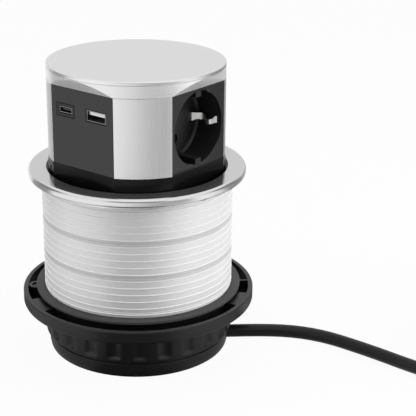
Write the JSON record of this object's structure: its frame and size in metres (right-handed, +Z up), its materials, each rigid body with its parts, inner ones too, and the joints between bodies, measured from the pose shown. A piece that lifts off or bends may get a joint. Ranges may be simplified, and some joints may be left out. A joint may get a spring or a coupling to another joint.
{
  "type": "pop-up table socket",
  "caption": "Recessed table socket whose round head, with earthed outlets and USB ports, rises on springs out of a barrel clamped in a table top.",
  "frame": {"origin": "middle of the underside of the base cap, on the axis of the barrel", "axes": "+Z up along the barrel; the camera of the picture looks along +Y; +X to its right"},
  "size_m": [0.3477, 0.1651, 0.165],
  "materials": {
    "satin_aluminium": "satin",
    "brushed_aluminium": "brushed upright",
    "stainless_steel": "satin, turned",
    "silver_plastic": "silver, ribbed",
    "black_gloss": "gloss",
    "black_satin": "satin, fine grain",
    "washer_rubber": "matt",
    "cord_sheath": "satin",
    "plug_plastic": "satin",
    "plain_steel": "zinc plated",
    "latch_plastic": "natural acetal",
    "spring_contact": "nickel plated",
    "brass": "bare",
    "pale_plastic": "matt",
    "dark_plastic": "matt",
    "circuit_board": "solder mask",
    "transformer": "tape"
  },
  "bodies": {
    "housing": {"collar": "stainless_steel", "base_cap": "black_satin", "guide_barrel": "black_satin", "latch_bracket": "black_satin", "cord_clamp": "black_satin", "lead_anchor": "black_satin", "power_cord": "cord_sheath", "cord_coil": "cord_sheath", "cord_tail": "cord_sheath", "plug_strain_relief": "cord_sheath", "coiled_lead": "cord_sheath", "plug_body": "plug_plastic", "guide_rod_front": "plain_steel", "guide_rod_rear": "plain_steel", "rod_stop_rings": "plain_steel", "lift_spring_front": "plain_steel", "lift_spring_rear": "plain_steel", "base_screws": "plain_steel", "latch_pivot": "plain_steel", "plug_earth_contacts": "spring_contact", "plug_pins": "spring_contact", "terminal_block": "pale_plastic"},
    "head": {"head_floor": "black_satin", "lower_ring": "black_gloss", "head_core": "black_satin", "tie_screws": "plain_steel", "cap_ring": "satin_aluminium", "lid": "satin_aluminium", "corner_panel_front": "brushed_aluminium", "corner_panel_right": "brushed_aluminium", "corner_panel_rear": "brushed_aluminium", "corner_panel_left": "brushed_aluminium", "socket_right": "black_gloss", "socket_rear": "black_gloss", "socket_left": "black_gloss", "earth_clips_right": "spring_contact", "earth_clips_rear": "spring_contact", "earth_clips_left": "spring_contact", "pin_contacts_right": "brass", "pin_contacts_rear": "brass", "pin_contacts_left": "brass", "bus_plate_live": "brass", "bus_plate_neutral": "brass", "usb_plate": "black_gloss", "usb_a_shell": "spring_contact", "usb_a_tongue": "pale_plastic", "usb_c_shell": "spring_contact", "usb_c_tongue": "dark_plastic", "usb_board": "circuit_board", "usb_transformer": "transformer", "usb_capacitors": "dark_plastic", "latch_striker": "black_satin"},
    "clamp_stack": {"rubber_washer": "washer_rubber", "pressure_ring": "silver_plastic", "spacer_ring_lower": "silver_plastic", "spacer_ring_middle": "silver_plastic", "spacer_ring_upper": "silver_plastic"},
    "lock_nut": {"lock_nut": "black_satin"},
    "latch": {"latch_hook": "latch_plastic"}
  },
  "joints": [
    {"name": "head_lift", "type": "slide", "parent": "housing", "child": "head", "axis": [0, 0, 1], "range_m": [-0.058, 0], "stiffness_N_per_m": 150, "springref_m": 0.06, "deforming": ["lift_spring_front", "lift_spring_rear", "coiled_lead"]},
    {"name": "stack_drop", "type": "slide", "parent": "housing", "child": "clamp_stack", "axis": [0, 0, 1], "range_m": [-0.00205, 0]},
    {"name": "nut_turn", "type": "hinge", "parent": "clamp_stack", "child": "lock_nut", "pos_m": [0, 0, 0.0224], "axis": [0, 0, 1], "range_deg": [-180, 0]},
    {"name": "latch_swing", "type": "hinge", "parent": "housing", "child": "latch", "pos_m": [0.017, 0.0197, 0.0125], "axis": [1, 0, 0], "range_deg": [-6, 6], "stiffness_Nm_per_rad": 0.02}
  ],
  "couplings": [
    {"joint": "stack_drop", "follows": "nut_turn", "m_per_rad": 0.00063662}
  ]
}
